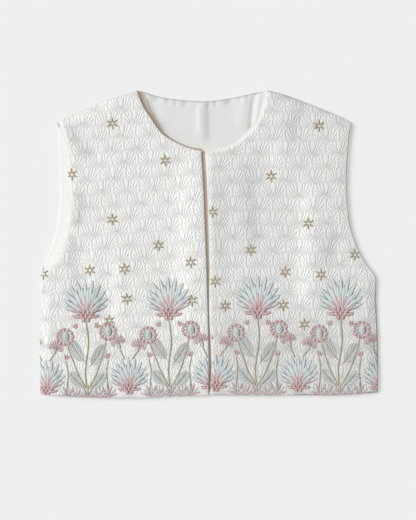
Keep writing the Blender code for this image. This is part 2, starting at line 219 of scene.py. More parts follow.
# Colours, as shares of red, green and blue in linear light.
CREAM, PALE_CREAM = (0.89, 0.885, 0.855), (0.95, 0.945, 0.92)
# Greys of painted shade: on the ground between the fans' lines, along the rims, and over the fronts.
GROUND_SHADE_GREY, RIM_SHADE_GREY, SHADE_GREY = (0.60, 0.60, 0.58), (0.36, 0.36, 0.35), (0.62, 0.62, 0.62)
OFF_WHITE, PALE_OFF_WHITE = (0.90, 0.895, 0.87), (0.95, 0.945, 0.925)
# The lining's thread grey, and the grey of its painted shade.
LINING_THREAD_GREY, RECESS_SHADE_GREY = (0.66, 0.655, 0.63), (0.52, 0.515, 0.50)
SEAM_GREY = (0.42, 0.42, 0.42)
# The facing's painted warm shadow of the right front: tan, a lighter tan for patches, tan painted
# lighter in the front gap, and the grey it fades to.
SHADOW_TAN, LIGHT_SHADOW_TAN, GAP_PAINTED_LIGHT_TAN = (0.41, 0.315, 0.235), (0.47, 0.37, 0.28), (0.63, 0.485, 0.37)
FADED_SHADOW_TAN = (0.60, 0.58, 0.54)
WORN_THREAD = (0.84, 0.83, 0.80)
FLOOR_GREY, PALE_FLOOR_GREY = (0.495, 0.495, 0.495), (0.505, 0.505, 0.505)
THREADS = {
    "blue": ((0.66, 0.72, 0.72), (0.11, 0.16, 0.18)),
    "pink": ((0.63, 0.42, 0.42), (0.21, 0.065, 0.08)),
    "gold": ((0.43, 0.35, 0.17), (0.15, 0.105, 0.045)),
    "grey": ((0.63, 0.65, 0.64), (0.14, 0.17, 0.18)),
}

# The floor in metres, the light and the camera.
FLOOR_HALF_SIDE, FLOOR_GLOW = 12, 0.34
SKY_STRENGTH = 0.48
WINDOW_DIRECTION, WINDOW_SPREAD, WINDOW_STRENGTH = (-1.12, 0.38, 0.95), 36, 2.85
CAMERA_LENS, CAMERA_SENSOR = 85, 36

Grid = namedtuple("Grid", "columns rows inner_stride")
Fold = namedtuple("Fold", "x y lean length width height")
Peek = namedtuple("Peek", "along beyond")
Fans = namedtuple("Fans", "x y turn size")
Swell = namedtuple("Swell", "wavelength direction phase height")
Border = namedtuple("Border", "plants turn pivot drop")
Front = namedtuple("Front", "edges folds fans stars border tone strip")
Away = namedtuple("Away", "outer inner hem shoulder")
Pad = namedtuple("Pad", "plan s t lift length")
Tier = namedtuple("Tier", "colour count spread start length shorter width bend lift")

# Columns across and rows up each cloth. The inner face keeps every so many of them.
FRONT_GRID = Grid(216, 424, 8)
BACK_GRID = Grid(100, 100, 2)
LINING_GRID = Grid(200, 150, 5)
FACING_GRID = Grid(16, 260, 4)

# Outlines in plan. They run upwards or from the middle to the side. Those of the back's hem and
# neck run from its right to its left.
RIGHT_OUTER = (
    (-237, 5), (-238, 18.5), (-238, 95.5), (-237.9, 151.5), (-235.9, 173.2),
    (-227.5, 183), (-214.9, 200.5), (-206.5, 221.5), (-200.9, 244), (-197.4, 270.5),
    (-197.4, 298.5), (-200.2, 333.5), (-204.4, 368.5), (-209.3, 382.5), (-212.8, 387.1),
)
LEFT_OUTER = (
    (235.8, 8), (236.4, 36.7), (235.7, 92.7), (234.9, 106.7), (233.6, 137.5), (233.4, 158.5),
    (232.4, 169.7), (227.9, 176.7), (217.6, 190.7), (205.4, 214.5), (196.7, 242.5),
    (192.5, 283), (191.9, 307), (193.9, 347.5), (196.7, 374), (198.9, 384), (196.4, 388.1),
)
RIGHT_CENTRE = (
    (-1.5, 3.4), (-0.4, 24), (-1, 67.5), (-2.2, 123.5), (-4.9, 213), (-6.3, 246.7),
    (-8.1, 294.3), (-10.9, 340.5), (-10.5, 345.7),
)
LEFT_CENTRE = (
    (1.3, 4.5), (1.4, 22.7), (2.7, 53.5), (0.7, 88.5), (-0.8, 130.5), (0.7, 213),
    (-0.7, 252.3), (-1.4, 284.5), (-1.8, 333.5), (-0.7, 344.8),
)
RIGHT_NECK = (
    (-10.5, 345.7), (-25.9, 349.3), (-37.8, 353.8), (-49.8, 359.4), (-62, 367.1),
    (-70, 374.6), (-83.7, 394.8), (-91.7, 406.8), (-97.3, 418.9), (-101.8, 432.4),
)
LEFT_NECK = (
    (-0.7, 344.8), (12.9, 346.5), (29, 351.4), (41.9, 358.7), (53.2, 368.2), (63.7, 379),
    (72.5, 397.2), (78.1, 413.3), (80.2, 431.6),
)
RIGHT_SHOULDER = (
    (-101.8, 432.4), (-113, 426.4), (-146.9, 417.1), (-184.2, 400.3), (-203, 392.7),
    (-212.8, 387.1),
)
LEFT_SHOULDER = (
    (80.2, 431.6), (101.5, 425.9), (124.5, 417.8), (154.7, 406.3), (186.2, 393), (196.4, 388.1),
)
RIGHT_HEM = ((-1.5, 3.4), (-48.3, 2.5), (-98.7, 0), (-182.7, 1.6), (-237, 5))
LEFT_HEM = ((1.3, 4.5), (62.3, 3.6), (133.7, 4.2), (178.5, 4.2), (235.8, 8))
BACK_RIGHT = (
    (-235.8, 6.8), (-237, 20), (-237, 95.5), (-236.9, 151.5), (-236.2, 171.1),
    (-234.5, 182.3), (-230.3, 193.5), (-224.7, 204.7), (-217, 227.1), (-212.1, 249.5),
    (-209.5, 278), (-209.6, 304), (-210.7, 347.5), (-212.1, 372.7), (-214.3, 386),
)
BACK_LEFT = (
    (234.8, 9.8), (235.4, 36.7), (234.7, 92.7), (233.9, 106.7), (232.6, 137.5), (232.4, 158.5),
    (231.6, 168.5), (226.7, 176.8), (216.5, 190.8), (209, 205), (200.3, 227),
    (195.7, 242.5), (191.5, 283), (190.9, 307), (192.9, 347.5), (195.5, 374), (195.6, 386.8),
)
BACK_HEM = (
    (-235.8, 6.8), (-182, 3.2), (-98, 2), (0, 5.4), (62, 5.4), (178, 6), (234.8, 9.8),
)
BACK_NECK = (
    (-101.2, 431.2), (-90.3, 429.2), (-79.7, 425.2), (-53.9, 420), (-5.6, 416.7),
    (37.1, 422.2), (60.9, 427.8), (79.8, 430.8),
)

TOP_OUTLINE = RIGHT_SHOULDER[::-1] + BACK_NECK + LEFT_SHOULDER
BORDER_REPEAT = 116

RIGHT_FANS = Fans(-96.4, 267.7, 4.1, 0.995)
LEFT_FANS = Fans(105.9, 299.2, 0.3, 1.021)

# Soft ridges (+) and troughs (-) of the laid cloth.
RIGHT_FOLDS = (
    Fold(-31, 207, 2, 300, 16, 1.4),
    Fold(-184, 361, -41, 92, 11, -1.3),
    Fold(-180, 264, 4, 64, 10, -1.1),
    Fold(-187, 191, -6, 84, 11, -1.1),
    Fold(-164, 154, 3, 124, 10, 1.2),
    Fold(-128, 150, -2, 118, 10, 1),
)
LEFT_FOLDS = (
    Fold(138, 214, 2, 212, 14, 1.6),
    Fold(62, 262, -3, 150, 13, -1.1),
    Fold(173, 207, 12, 74, 10, -1.2),
    Fold(122, 378, 20, 52, 10, -1),
    Fold(96, 330, 6, 88, 12, 0.9),
    Fold(15, 240, 0, 210, 12, -0.9),
)
LINING_FOLDS = (
    Fold(-13.5, 402, 0, 84, 4.4, 1),
    Fold(-3.2, 386, 0, 130, 4.4, -0.42),
    Fold(-78, 396, -28, 76, 6, -0.5),
    Fold(45, 404, 5, 60, 8, 0.7),
    Fold(58.5, 402, 5, 72, 3.8, -0.6),
    Fold(67, 408, 7, 70, 5, 1.3),
    Fold(-66, 410, -8, 50, 10, 0.4),
)

# Slow unevenness of the fronts: wavelength, direction in degrees, phase, height.
SWELLS = (
    Swell(83, 12, 0.4, 0.16), Swell(61, 74, 2.1, 0.12), Swell(47, -38, 4.4, 0.10),
    Swell(118, 128, 1.2, 0.18), Swell(35, 25, 5.3, 0.06),
)

# How far each facing shows beyond its front's edge, by share of the facing's length.
RIGHT_PEEK = (
    Peek(0, 3.4), Peek(0.35, 3.4), Peek(0.60, 4.4), Peek(0.74, 4.6), Peek(0.79, 1.6),
    Peek(0.86, 3.2), Peek(0.93, 6.5), Peek(1, 13),
)
LEFT_PEEK = (Peek(0, 2), Peek(0.35, 3.6), Peek(0.7, 4.6), Peek(1, 8.5))

# The gold stars, in pixels of the photograph.
RIGHT_STARS = (
    (112.4, 123.6), (165.2, 160.6), (71.8, 174.5), (112.4, 219.4), (158.5, 245.5), (190.6, 262.4),
    (90, 270.3), (124.5, 269), (127, 298.8), (191.8, 300.6), (109.4, 320.6), (43, 274),
)
LEFT_STARS = (
    (318.8, 125.9), (271, 176.3), (212.3, 212), (308, 223.5), (250.6, 250), (354.5, 254.7),
    (285, 271.9), (320.7, 274.4), (214.9, 281.5), (225.1, 305.7), (283.1, 305), (304.2, 324.2),
)

# Shade is painted all over the left front, which lies further from the light.
FRONTS = {
    "right": Front((RIGHT_OUTER, RIGHT_CENTRE, RIGHT_NECK, RIGHT_HEM, RIGHT_SHOULDER),
                   RIGHT_FOLDS, RIGHT_FANS, RIGHT_STARS,
                   Border((-286, -170, -54), turn=1.4, pivot=-110, drop=2),
                   tone=0, strip=5.5),
    "left": Front((LEFT_OUTER, LEFT_CENTRE, LEFT_NECK, LEFT_HEM, LEFT_SHOULDER),
                  LEFT_FOLDS, LEFT_FANS, LEFT_STARS,
                  Border((-50, 66, 182), turn=-0.6, pivot=110, drop=-1),
                  tone=0.38, strip=2),
}

# Petals of a tall head, spread evenly to both sides of its middle.
PROTEA_MIDDLE = 10
PROTEA_TIERS = (
    Tier("blue", 11, 66, 6, 47, 19, 8.4, 14, 0.8),
    Tier("blue", 8, 50, 6, 35, 10, 7, 10, 1.1),
    Tier("pink", 5, 36, 5, 24, 5, 5.2, 0, 1.35),
    Tier("pink", 2, 12, 4, 15, 0, 4.6, 0, 1.55),
    Tier("pink", 2, 58, 3, 23, 0, 6, -30, 1.3),
    Tier("pink", 2, 88, 2, 18, 0, 5.4, -50, 1.3),
)


def smooth(value, low=0, high=1):
    """Ease from 0 at low to 1 at high."""
    share = np.clip((value - low) / (high - low), 0, 1)
    return share * share * (3 - 2 * share)


def mix(first, second, share):
    return first + (second - first) * share


class Edge:
    """A smooth curve through a table's points, read by share of its length."""

    STEPS = 10

    def __init__(self, rows):
        rows = np.array(rows, float)
        before = np.vstack([rows[:1], rows[:-2]])
        after = np.vstack([rows[2:], rows[-1:]])
        start, end = rows[:-1], rows[1:]
        span = np.linalg.norm(end - start, axis=1)[:, None]
        span_before = np.linalg.norm(start - before, axis=1)[:, None]
        span_after = np.linalg.norm(after - end, axis=1)[:, None]
        span_before[span_before == 0] = span[span_before == 0]
        span_after[span_after == 0] = span[span_after == 0]
        slope_in = (end - before) / (span_before + span) * span
        slope_out = (after - start) / (span + span_after) * span
        t = np.arange(1, self.STEPS + 1)[:, None] / self.STEPS
        points = [rows[:1]]
        for i in range(len(start)):
            points.append((2 * t**3 - 3 * t**2 + 1) * start[i] + (t**3 - 2 * t**2 + t) * slope_in[i]
                          + (3 * t**2 - 2 * t**3) * end[i] + (t**3 - t**2) * slope_out[i])
        self.points = np.vstack(points)
        lengths = np.linalg.norm(np.diff(self.points, axis=0), axis=1)
        self.share = np.concatenate([[0], np.cumsum(lengths)])
        self.length = self.share[-1]
        self.share = self.share / self.length

    def at(self, share):
        return np.stack([np.interp(share, self.share, self.points[:, k]) for k in (0, 1)], -1)


def joined(first, second, corner):
    """One edge after another, meeting at the share called corner."""
    def at(share):
        share = np.asarray(share, float)
        early = first.at(share / corner)
        late = second.at((share - corner) / (1 - corner))
        return np.where((share <= corner)[..., None], early, late)
    return at


def patch(sides, u, v):
    """Coons patch: sides are the curves at u = 0, u = 1, v = 0 and v = 1."""
    start, end, bottom, top = (side(share) for side, share in zip(sides, (v, v, u, u)))
    u, v = u[..., None], v[..., None]
    corners = [sides[k](np.array(share)) for k, share in ((0, 0), (1, 0), (0, 1), (1, 1))]
    flat = mix(mix(corners[0], corners[1], u), mix(corners[2], corners[3], u), v)
    return mix(start, end, u) + mix(bottom, top, v) - flat


def stations(count, length, corner=None):
    """Shares from 0 to 1, close together at both ends. length may hold a value for each row."""
    length = np.asarray(length, float)[..., None]
    ends = np.array(EDGE_ROWS) / length
    steps = count - 2 * (len(EDGE_ROWS) - 1)
    along = np.arange(1, steps) / steps
    middle = mix(ends[..., -1:], 1 - ends[..., -1:], along)
    shares = np.concatenate([ends, middle, 1 - ends[..., ::-1]], axis=-1)
    if corner is not None:
        shares[np.abs(shares - corner).argmin()] = corner
    return shares


def folds_at(folds, x, y, trough_scale=1):
    """The sum of the folds: each is a soft bar that fades at its ends."""
    total = np.zeros_like(x)
    for fold in folds:
        lean = math.radians(fold.lean)
        dx, dy = x - fold.x, y - fold.y
        across = dx * math.cos(lean) - dy * math.sin(lean)
        along = dx * math.sin(lean) + dy * math.cos(lean)
        fade = 1 - smooth(np.abs(along), fold.length * 0.25, fold.length * 0.5)
        height = fold.height * fade * np.exp(-((across / fold.width) ** 2))
        total += height * (trough_scale if fold.height < 0 else 1)
    return total


def swells_at(x, y):
    total = np.zeros_like(x)
    for swell in SWELLS:
        angle = math.radians(swell.direction)
        along = x * math.cos(angle) + y * math.sin(angle)
        total += swell.height * np.sin(2 * math.pi * along / swell.wavelength + swell.phase)
    return total


class Shade:
    """A number at each shaded point. Arithmetic on it adds math nodes to its material."""

    def __init__(self, paint, socket):
        self.paint, self.socket = paint, socket

    def step(self, operation, *others):
        node = self.paint.nodes.new("ShaderNodeMath")
        node.operation = operation
        for place, value in enumerate((self, *others)):
            if isinstance(value, Shade):
                self.paint.links.new(value.socket, node.inputs[place])
            else:
                node.inputs[place].default_value = value
        return Shade(self.paint, node.outputs[0])

    def ranged(self, low, high, top=1, kind="LINEAR"):
        """0 at low, and top at high and beyond."""
        node = self.paint.nodes.new("ShaderNodeMapRange")
        node.interpolation_type = kind
        self.paint.links.new(self.socket, node.inputs[0])
        for place, value in enumerate((low, high, 0, top), start=1):
            node.inputs[place].default_value = value
        return Shade(self.paint, node.outputs[0])

    def eased(self, low, high):
        return self.ranged(low, high, kind="SMOOTHSTEP")

    def __add__(self, other):
        return self.step("ADD", other)

    def __sub__(self, other):
        return self.step("SUBTRACT", other)

    def __mul__(self, other):
        return self.step("MULTIPLY", other)

    def __truediv__(self, other):
        return self.step("DIVIDE", other)

    def __pow__(self, other):
        return self.step("POWER", other)

    def __rsub__(self, other):
        return self.step("MULTIPLY_ADD", -1, other)


NUMPY_STEPS = {
    "FLOOR": np.floor, "ABSOLUTE": np.abs, "COSINE": np.cos, "EXPONENT": np.exp,
    "ARCTAN2": np.arctan2, "SQRT": np.sqrt, "MAXIMUM": np.maximum,
    "LESS_THAN": lambda first, second: (first < second).astype(float),
}


def step(operation, first, *others):
    """One step of arithmetic, on arrays or at the shaded points."""
    if isinstance(first, Shade):
        return first.step(operation, *others)
    return NUMPY_STEPS[operation](first, *others)


def eased(value, low, high):
    return value.eased(low, high) if isinstance(value, Shade) else smooth(value, low, high)


def hump(value, width):
    """1 where the value is 0, falling off softly over the width."""
    return step("EXPONENT", (value / width) * (value / width) * -1)


def distance(across, up):
    return step("SQRT", across * across + up * up)


def waver(along, beside, slow, quick, drift):
    """A small sway of the lattice's lines, so that they don't run dead straight."""
    return SLOW_WAVER * np.sin(along / slow) + QUICK_WAVER * np.sin(along / quick + beside / drift)


def fan_place(x, y, fans):
    """Where a plan point is in the lattice of fans: across and up, slightly uneven."""
    turn = math.radians(fans.turn)
    dx, dy = (x - fans.x) / fans.size, (y - fans.y) / fans.size
    across = dx * math.cos(turn) + dy * math.sin(turn)
    up = dy * math.cos(turn) - dx * math.sin(turn)
    across = across + waver(up, across, slow=17, quick=5.3, drift=29)
    return across, up + waver(across, up, slow=21, quick=6.1, drift=31)


def fan_foot(across):
    """Height above its knot at which a fan begins, this far from its middle line."""
    return (step("MAXIMUM", across / FAN_COLUMN, 0) ** FAN_SHOULDER_POWER) * FAN_SHOULDER


def fan_cell(across, up):
    """The place in its own fan: distance from the fan's middle line, and height above its knot."""
    row = step("FLOOR", up / FAN_ROW)
    odd = row - step("FLOOR", row / 2) * 2
    across = across - odd * FAN_COLUMN
    fan = step("FLOOR", across / (2 * FAN_COLUMN) + 0.5)
    across = step("ABSOLUTE", across - fan * (2 * FAN_COLUMN))
    up = up - row * FAN_ROW
    below = step("LESS_THAN", up - fan_foot(across), 0)
    across = across + below * (FAN_COLUMN - across * 2)
    return across, up + below * FAN_ROW


def bud_edge(up):
    """Half the bud's width at a height above the knot."""
    share = step("MAXIMUM", (up - BUD_FOOT) / BUD_LENGTH, 0.0005)
    left = step("MAXIMUM", 1 - share, 0.0005)
    return (share ** BUD_POWERS[0]) * (left ** BUD_POWERS[1]) * (BUD_FULLNESS * BUD_HALF_WIDTH)


def fan_lines(across, up):
    """The fine lines of a fan: 1 on its pale sunken lines and bud, 0 on the ground beside them."""
    from_foot = up - fan_foot(across)
    to_top = fan_foot(FAN_COLUMN - across) + FAN_ROW - up
    beside = FAN_COLUMN - across
    from_knot, from_next = distance(across, up), distance(beside, up - FAN_ROW)
    past_bud = across - bud_edge(up)
    bud = eased(past_bud, *BUD_EDGE)

    angle = step("ARCTAN2", across, up - up * up / STROKE_BEND + STROKE_FOOT)
    strokes = step("COSINE", (angle - FIRST_STROKE) * (2 * math.pi / STROKE_ANGLE)) * 0.5 + 0.5
    room = (eased(from_foot, *STROKE_FROM_FOOT) * eased(to_top, *STROKE_TO_TOP)
            * eased(distance(across, up + STROKE_FOOT), *STROKE_START)
            * eased(beside, *STROKE_FROM_STEM))
    strokes = ((strokes ** 0.5) * STROKE_TOP - GROUND_LEVEL) * room + GROUND_LEVEL
    strokes = (strokes * eased(from_knot, *KNOT_CLEARING) * eased(from_next, *KNOT_CLEARING)
               * eased(past_bud, *BUD_GROOVE))

    foot, top = STEM_ENDS
    fade = STEM_END_FADE
    stem = (hump(beside - STEM_PLACE, STEM_WIDTH) * eased(up, foot - fade, foot + fade)
            * eased(up, top + fade, top - fade))
    knots = step("MAXIMUM", hump(from_knot, KNOT_WIDTH), hump(from_next, KNOT_WIDTH))
    return step("MAXIMUM", step("MAXIMUM", step("MAXIMUM", bud, strokes), stem), knots)


def fan_bulge(across, up):
    """The soft bulge of a fan, highest at its middle and even along its outline."""
    dome = np.cos(0.5 * math.pi * across / FAN_COLUMN) ** DOME_POWER
    span = FAN_ROW + fan_foot(FAN_COLUMN - across) - fan_foot(across)
    height = np.clip((up - fan_foot(across)) / span, 0, 1)
    within = smooth(height, 0, BULGE_EASE) * smooth(1 - height, 0, BULGE_EASE)
    return (BULGE_MEAN + BULGE_DOME * (dome - 0.5) * within
            + BULGE_RISE * np.sin(math.pi * height))


# Meshes

def mesh_object(name, vertices, faces, material):
    mesh = bpy.data.meshes.new(name)
    mesh.from_pydata(vertices, [], faces)
    mesh.validate()
    mesh.materials.append(material)
    mesh.shade_smooth()
    item = bpy.data.objects.new(name, mesh)
    bpy.context.scene.collection.objects.link(item)
    return item


def in_frame(points):
    """Garment millimetres to the frame's metres."""
    return (np.array(points, float) - (MIDDLE, BODY_LENGTH / 2, 0)) * MM


def grid_faces(indices, flip=False):
    corners = (indices[:-1, :-1], indices[:-1, 1:], indices[1:, 1:], indices[1:, :-1])
    faces = np.stack([corner.ravel() for corner in corners], -1)
    return (faces[:, ::-1] if flip else faces).tolist()


def kept_lines(count, stride):
    """Every stride-th line of a grid, with its first and last."""
    return sorted(set(range(0, count - 1, stride)) | {count - 1})


def add_uv(item, name, coordinates):
    """A UV map from a coordinate pair at each vertex."""
    layer = item.data.uv_layers.new(name=name)
    loops = np.zeros(len(item.data.loops), np.int32)
    item.data.loops.foreach_get("vertex_index", loops)
    layer.data.foreach_set("uv", np.asarray(coordinates, np.float32)[loops].ravel())


def shell(name, x, y, top, under, stride, material, uv=None, **attributes):
    """A closed sheet: a fine outer grid, and an inner face on some of its lines, joined at the rim."""
    top, under = np.dstack([x, y, top]), np.dstack([x, y, under])
    rows, columns = top.shape[:2]
    a, b = top[0, 1] - top[0, 0], top[1, 0] - top[0, 0]
    flip = a[0] * b[1] - a[1] * b[0] < 0
    kept_rows, kept_columns = kept_lines(rows, stride), kept_lines(columns, stride)
    upper = np.arange(rows * columns).reshape(rows, columns)
    lower = (rows * columns
             + np.arange(len(kept_rows) * len(kept_columns)).reshape(len(kept_rows), -1))
    kept = np.ix_(kept_rows, kept_columns)
    faces = grid_faces(upper, flip) + grid_faces(lower, not flip)

    def rim(line, low_line, kept_places, reverse):
        for i in range(len(kept_places) - 1):
            face = list(line[kept_places[i]:kept_places[i + 1] + 1])
            face += [low_line[i + 1], low_line[i]]
            faces.append([int(k) for k in (face[::-1] if reverse != flip else face)])

    rim(upper[0], lower[0], kept_columns, True)
    rim(upper[-1], lower[-1], kept_columns, False)
    rim(upper[:, 0], lower[:, 0], kept_rows, False)
    rim(upper[:, -1], lower[:, -1], kept_rows, True)
    vertices = np.vstack([top.reshape(-1, 3), under[kept].reshape(-1, 3)])
    item = mesh_object(name, in_frame(vertices), faces, material)
    for label, values in attributes.items():
        data = item.data.attributes.new(label, "FLOAT", "POINT")
        padded = np.concatenate([values.ravel(), np.zeros(lower.size)])
        data.data.foreach_set("value", padded.astype(np.float32))
    if uv is not None:
        add_uv(item, "lattice", np.vstack([uv.reshape(-1, 2), uv[kept].reshape(-1, 2)]))
    return item


def turned_edge(from_edge, radius=TURN_RADIUS):
    """How far the outer face has dropped, this close to a turned edge."""
    inward = np.clip(radius - from_edge, 0, radius)
    return radius - np.sqrt(np.maximum(radius ** 2 - inward ** 2, 0))


# The fronts

def front_grid(outer, centre, neck, hem, shoulder):
    """Plan points of a front, and how far each is from the front's edges."""
    inner = joined(Edge(centre), Edge(neck), 1 - NECK_SHARE)
    hem_edge, shoulder_edge = Edge(hem), Edge(shoulder)
    sides = (Edge(outer).at, inner,
             lambda u: hem_edge.at(1 - u), lambda u: shoulder_edge.at(1 - u))
    v = stations(FRONT_GRID.rows, BODY_LENGTH, 1 - NECK_SHARE)
    width = np.linalg.norm(sides[1](v) - sides[0](v), axis=-1)
    u = stations(FRONT_GRID.columns, width)
    v = np.broadcast_to(v[:, None], u.shape)
    points = patch(sides, u, v)
    width = width[:, None]
    away = Away(u * width, (1 - u) * width, v * BODY_LENGTH, (1 - v) * BODY_LENGTH)
    return points[..., 0], points[..., 1], away


def front_underside(x, y, away, neck_point, folds):
    """A front's inner face, which rolls down to its side and shoulder seams."""
    side_share = 1 - smooth(y, *SIDE_SEAM_TOP)
    from_neck = np.hypot(x - neck_point[0], y - neck_point[1])
    outer_edge = mix(ARMHOLE_REST, SEAM_HEIGHT, side_share)
    shoulder_edge = mix(FRONT_REST, SEAM_HEIGHT, smooth(from_neck, *NECK_STACK))
    outer = mix(outer_edge, FRONT_REST, smooth(away.outer / SEAM_ROLL))
    shoulder = mix(shoulder_edge, FRONT_REST, smooth(away.shoulder / SEAM_ROLL))
    fade = smooth(np.minimum(away.outer, away.shoulder), *ROLL_MARGIN)
    trough_scale = smooth(away.inner, *FOLD_MARGIN)
    return np.minimum(outer, shoulder) + folds_at(folds, x, y, trough_scale) * fade


def front_shade(x, y, away, front, strip, covered):
    """Painted shade of a front, how grey it is: in its troughs, under thread, and all over on the left
    front.
    """
    near_shoulder = np.exp(-away.shoulder / SHOULDER_SHADE_REACH)
    near_hem = 1 - smooth(y, *HEM_SHADE_HEIGHTS)
    shade = front.tone * (1 + SHOULDER_SHADE * near_shoulder + HEM_SHADE * near_hem)
    shade = shade - FOLD_SHADE * folds_at(front.folds, x, y) + THREAD_SHADE * covered
    shade = np.clip(shade, *SHADE_LIMITS) * smooth(away.inner, *SHADE_MARGIN)
    return shade * smooth(away.outer, 0.5 * strip, strip + 0.1)


def front_rim_shade(side, y, away, to_edge):
    """The darker line painted as shade along a front's edges, strongest on the left front's side away
    from light.
    """
    far = (side == "left") * (np.minimum(away.outer, away.shoulder) < away.inner)
    width = RIM_WIDTH * (1 + FAR_RIM_WIDENING * far * (1 - smooth(y, *SIDE_SEAM_TOP)))
    rim = smooth(width - to_edge, 0, RIM_WIDTH) * mix(RIM_SHADE, FAR_RIM_SHADE, far)
    at_neck = (away.inner <= to_edge) * smooth(y, *NECK_HEIGHTS)
    return rim * mix(1, NECK_RIM_SHADE[side], at_neck)


def build_front(side, front, pads, material):
    x, y, away = front_grid(*front.edges)
    neck_point = front.edges[-1][0]
    under = front_underside(x, y, away, neck_point, front.folds)
    to_edge = np.minimum.reduce(away)
    across, up = fan_place(x, y, front.fans)
    covered = pad_cover(pads, x, y)
    swells = swells_at(x, y)
    puff = mix(fan_bulge(*fan_cell(across, up)), PUFF_UNDER_THREAD, covered * FLATTENED)
    puff = puff * smooth(to_edge, *PUFF_MARGIN) * (PUFF_MEAN + PUFF_SWELL * swells)
    top = (under + CLOTH + PUFF * puff + swells * smooth(to_edge, *SWELL_MARGIN)
           - turned_edge(to_edge))
    flare = 1 + STRIP_FLARE * (1 - smooth(y, *STRIP_FLARE_HEIGHTS))
    strip = front.strip * smooth(y, *SIDE_SEAM_TOP) * flare
    quilted = smooth(to_edge, *LINE_MARGIN) * smooth(away.outer - strip, 0, STRIP_EDGE)
    quilted = quilted * (1 - LINES_UNDER_THREAD * covered)
    # The colour carries painted shade: in folds, under thread, over the left front, and along the
    # rims.
    return shell(side + "_front_cloth", x, y, top, under, FRONT_GRID.inner_stride, material,
                 uv=np.dstack([across / FAN_COLUMN, up / FAN_ROW]), quilted=quilted,
                 tone=front_shade(x, y, away, front, strip, covered),
                 rim=front_rim_shade(side, y, away, to_edge))


# The back and its lining

def back_sides():
    right, left = Edge(BACK_RIGHT), Edge(BACK_LEFT)
    neck = Edge(BACK_NECK)
    shoulders = Edge(RIGHT_SHOULDER), Edge(LEFT_SHOULDER)
    lower, upper = BACK_TOP_SHARES

    def moved_shoulder(shoulder, along, neck_point, tip):
        """A shoulder, moved so that its ends meet the back's own corners."""
        shift = mix(neck_point - shoulder.at(0), tip - shoulder.at(1), along[..., None])
        return shoulder.at(along) + shift

    def top(share):
        share = np.asarray(share, float)
        along_right = np.clip(1 - share / lower, 0, 1)
        along_left = np.clip((share - upper) / (1 - upper), 0, 1)
        points = neck.at((share - lower) / (upper - lower))
        right_part = moved_shoulder(shoulders[0], along_right, neck.at(0), right.at(1))
        left_part = moved_shoulder(shoulders[1], along_left, neck.at(1), left.at(1))
        points = np.where((share < lower)[..., None], right_part, points)
        return np.where((share > upper)[..., None], left_part, points)

    return right.at, left.at, Edge(BACK_HEM).at, top


def back_grid(grid, insets):
    """Plan points of the back or its lining, drawn in from the edges, and distances from them."""
    sides = back_sides()
    lower, upper = BACK_TOP_SHARES
    v = stations(grid.rows, BODY_LENGTH)
    start, end = sides[0](v), sides[1](v)
    width = (end[:, 0] - start[:, 0])[:, None]
    u = stations(grid.columns, width[:, 0])
    for corner in BACK_TOP_SHARES:
        u[:, np.abs(u[-1] - corner).argmin()] = corner
    v = np.broadcast_to(v[:, None], u.shape)
    edge_inset, seam_inset = insets
    armhole = smooth(start[:, 1], *LINING_ARMHOLE)[:, None]
    from_side = mix(seam_inset, edge_inset, armhole) / width
    to_tip = np.maximum(np.maximum(lower - u, u - upper), 0) * width
    from_top = mix(edge_inset, seam_inset, smooth(to_tip, *LINING_NECK_STACK)) / BODY_LENGTH
    points = patch(sides, mix(from_side, 1 - from_side, u),
                   mix(edge_inset / BODY_LENGTH, 1 - from_top, v))
    to_side = np.minimum(u, 1 - u) * width
    to_end = np.minimum(v, 1 - v) * BODY_LENGTH
    return points[..., 0], points[..., 1], to_end, np.minimum(to_side, to_end)


def build_back(material):
    x, y, _, to_edge = back_grid(BACK_GRID, (0, 0))
    top = BACK_TOP - turned_edge(to_edge, BACK_TURN_RADIUS)
    # The back's rim carries painted shade along its edges, more of it at the neck.
    return shell("back_cloth", x, y, top, np.zeros_like(x), BACK_GRID.inner_stride, material,
                 quilted=np.zeros_like(x),
                 rim=mix(BACK_RIM_SHADE, BACK_NECK_RIM_SHADE, smooth(y, *BACK_NECK_HEIGHTS)))


def gathers_at(x, y, from_seam):
    """Small gathers of the lining along the neck seam."""
    wave = np.sin(x / GATHER_PITCH + GATHER_UNEVENNESS * np.sin(x / GATHER_DRIFT))
    reach = np.exp(-((from_seam - GATHER_PLACE) / GATHER_REACH) ** 2)
    return GATHER_HEIGHT * wave * reach * smooth(y, *GATHER_HEIGHTS)


def lining_shade(x, y, lift):
    """Shade painted into the lining's colour: inside the neck, in its troughs, less on its ridges, and
    the right front's shadow beside it.
    """
    within = 1 - smooth(np.abs(x), *NECK_SHADE_SIDES)
    shade = np.maximum(NECK_SHADE * smooth(y, *NECK_SHADE_HEIGHTS) * within, LEAST_SHADE)
    shade = shade * smooth(y, *ANY_SHADE_HEIGHTS)
    shade = shade + RIDGE_SHADE * np.maximum(lift, 0) + TROUGH_SHADE * np.minimum(lift, 0)
    # The right front's shadow, painted on the lining beside it.
    neck = Edge(RIGHT_NECK).points
    from_front = np.min(np.hypot(x[..., None] - neck[:, 0], y[..., None] - neck[:, 1]), axis=-1)
    near_front = np.exp(-from_front / FRONT_SHADE_REACH) * smooth(y, *FRONT_SHADE_HEIGHTS)
    return shade + FRONT_SHADE * near_front


def build_lining(material):
    x, y, to_end, to_edge = back_grid(LINING_GRID, LINING_INSETS)
    lift = (folds_at(LINING_FOLDS, x, y) * smooth(y, *OPEN_HEIGHTS) * smooth(to_end, *OPEN_MARGIN)
            + gathers_at(x, y, to_end))
    top = LINING_TOP + lift - turned_edge(to_edge, LINING_TURN_RADIUS)
    seam = np.exp(-((to_edge - SEAM_LINE_PLACE) / SEAM_LINE_WIDTH) ** 2)
    return shell("back_lining_cloth", x, y, top, np.full_like(x, LINING_REST),
                 LINING_GRID.inner_stride, material, recess=lining_shade(x, y, lift),
                 seam=seam * smooth(y, *SEAM_LINE_HEIGHTS))


# The facings

